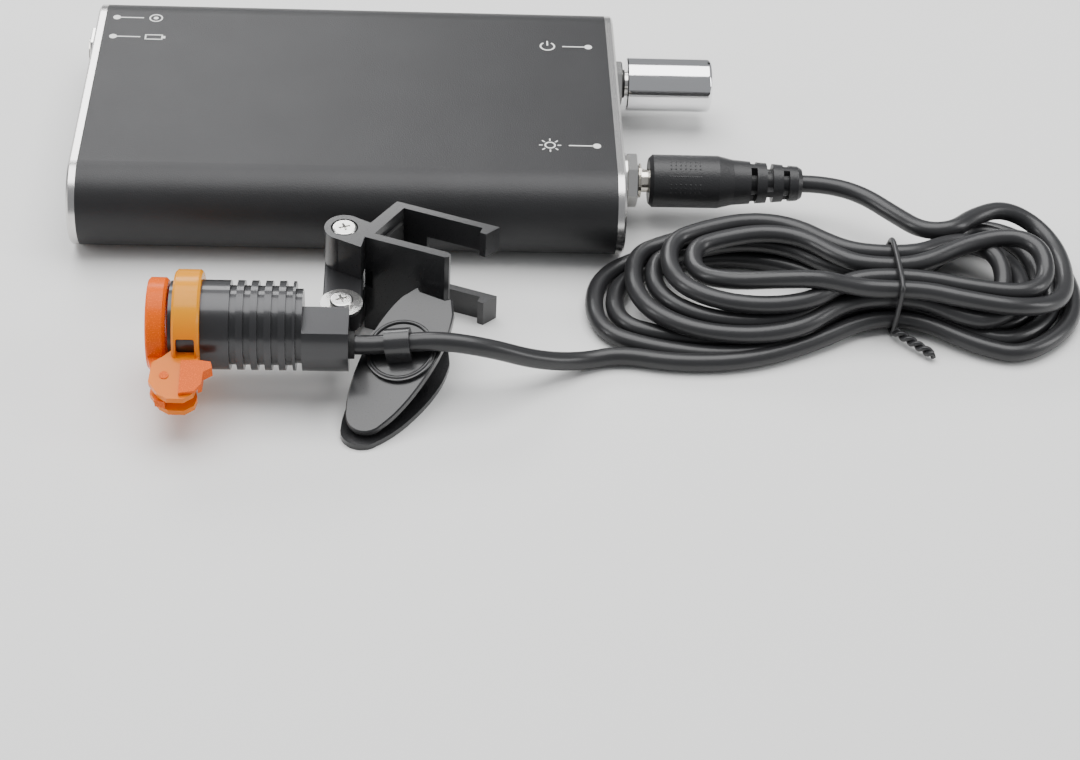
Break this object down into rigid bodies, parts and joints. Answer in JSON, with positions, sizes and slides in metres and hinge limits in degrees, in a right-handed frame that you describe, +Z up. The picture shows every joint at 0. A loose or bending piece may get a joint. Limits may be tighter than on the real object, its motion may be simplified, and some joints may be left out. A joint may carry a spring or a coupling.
{
  "type": "clip-on LED headlight for dental loupes",
  "caption": "Clip-on LED headlight for dental loupes: belt battery pack, hanked cord with clip, finned lamp with flip-up orange filter and jointed loupe bracket.",
  "frame": {"origin": "on the floor under the middle of the battery pack's underside", "axes": "+X along the pack toward the knob and the cord's plug, +Y away from the lamp across the pack, +Z up from the floor"},
  "size_m": [0.2374, 0.146, 0.0273],
  "materials": {
    "anodised_black": "black anodised, fine matte grain, bright bare edges on the plates",
    "bare_steel": "bare, lightly brushed",
    "plated_chrome": "polished plating",
    "socket_black": "moulded, satin",
    "pad_rubber": "matte",
    "cord_jacket": "smooth jacket, semi-gloss",
    "plug_black": "moulded, fine texture on the grip",
    "plug_nickel": "nickel plated",
    "clear_glass": "clear, polished",
    "amber_clear": "transparent yellow amber",
    "orange_clear": "transparent orange red",
    "orange_glass": "transparent orange",
    "board_green": "solder-mask green",
    "board_metal": "bare",
    "chip_black": "moulded packages",
    "emitter_yellow": "phosphor under a clear dome",
    "indicator_clear": "frosted light pipe",
    "cell_sleeve": "shrink sleeve on a steel can",
    "wire_red": "insulated wire"
  },
  "bodies": {
    "base": {"pack_shell": "anodised_black", "end_plate_left": "anodised_black", "end_plate_right": "anodised_black", "end_plate_screws": "bare_steel", "battery_cell_1": "cell_sleeve", "battery_cell_2": "cell_sleeve", "cell_holder": "socket_black", "circuit_board": "board_green", "board_posts": "board_metal", "board_components": "chip_black", "battery_leads": "wire_red", "dimmer_body": "socket_black", "dimmer_nut": "bare_steel", "output_jack": "socket_black", "output_washer": "bare_steel", "output_nut": "bare_steel", "charge_jack": "socket_black", "charge_nut": "bare_steel", "charge_indicator": "indicator_clear", "lamp_body": "anodised_black", "lamp_block": "anodised_black", "lamp_bezel": "anodised_black", "lens_seal": "pad_rubber", "lamp_lens": "clear_glass", "lamp_reflector": "plated_chrome", "emitter_board": "board_metal", "led_emitter": "emitter_yellow", "cable_grommet": "pad_rubber", "filter_ring": "amber_clear", "filter_pin": "bare_steel", "filter_latch": "orange_clear", "pivot_washer": "bare_steel", "lower_pivot_screw": "bare_steel", "cord_swivel": "socket_black", "cord_lead": "cord_jacket", "cord_hank": "cord_jacket", "cord_tail": "cord_jacket", "cord_tie": "cord_jacket", "plug_overmould": "plug_black", "plug_barrel": "plug_nickel"},
    "knob": {"dimmer_shaft": "bare_steel", "dimmer_knob": "plated_chrome", "knob_set_screw": "bare_steel"},
    "filter": {"filter_frame": "orange_clear", "filter_glass": "orange_glass"},
    "link": {"link_arm": "socket_black", "upper_pivot_screw": "bare_steel"},
    "bracket": {"loupe_bracket": "socket_black", "slot_pad": "pad_rubber"},
    "clip_upper": {"clip_upper_jaw": "socket_black", "clip_hinge_pin": "bare_steel", "clip_spring": "bare_steel"},
    "clip_lower": {"clip_lower_jaw": "socket_black"}
  },
  "joints": [
    {"name": "knob_turn", "type": "hinge", "parent": "base", "child": "knob", "pos_m": [0.07, 0.0203, 0.01075], "axis": [1, 0, 0], "range_deg": [0, 280]},
    {"name": "filter_flip", "type": "hinge", "parent": "base", "child": "filter", "pos_m": [-0.0366, -0.09725, 0.01217], "axis": [0, -0.2079, 0.9781], "range_deg": [0, 90]},
    {"name": "link_swing", "type": "hinge", "parent": "base", "child": "link", "pos_m": [-0.0002, -0.076, 0.0146], "axis": [0, 0, 1], "range_deg": [0, 12]},
    {"name": "bracket_swing", "type": "hinge", "parent": "link", "child": "bracket", "pos_m": [0, -0.0602, 0.013], "axis": [0, 0, 1], "range_deg": [0, 18]},
    {"name": "clip_swivel", "type": "hinge", "parent": "base", "child": "clip_upper", "pos_m": [0.0129, -0.0842, 0.01095], "axis": [-0.1682, -0.3164, 0.9336], "range_deg": [-6, 30]},
    {"name": "jaw_open", "type": "hinge", "parent": "clip_upper", "child": "clip_lower", "pos_m": [0.01478, -0.08067, 0.006], "axis": [0.8829, -0.4695, 0], "range_deg": [0, 15], "stiffness_Nm_per_rad": 0.05, "springref_deg": -14.32}
  ]
}
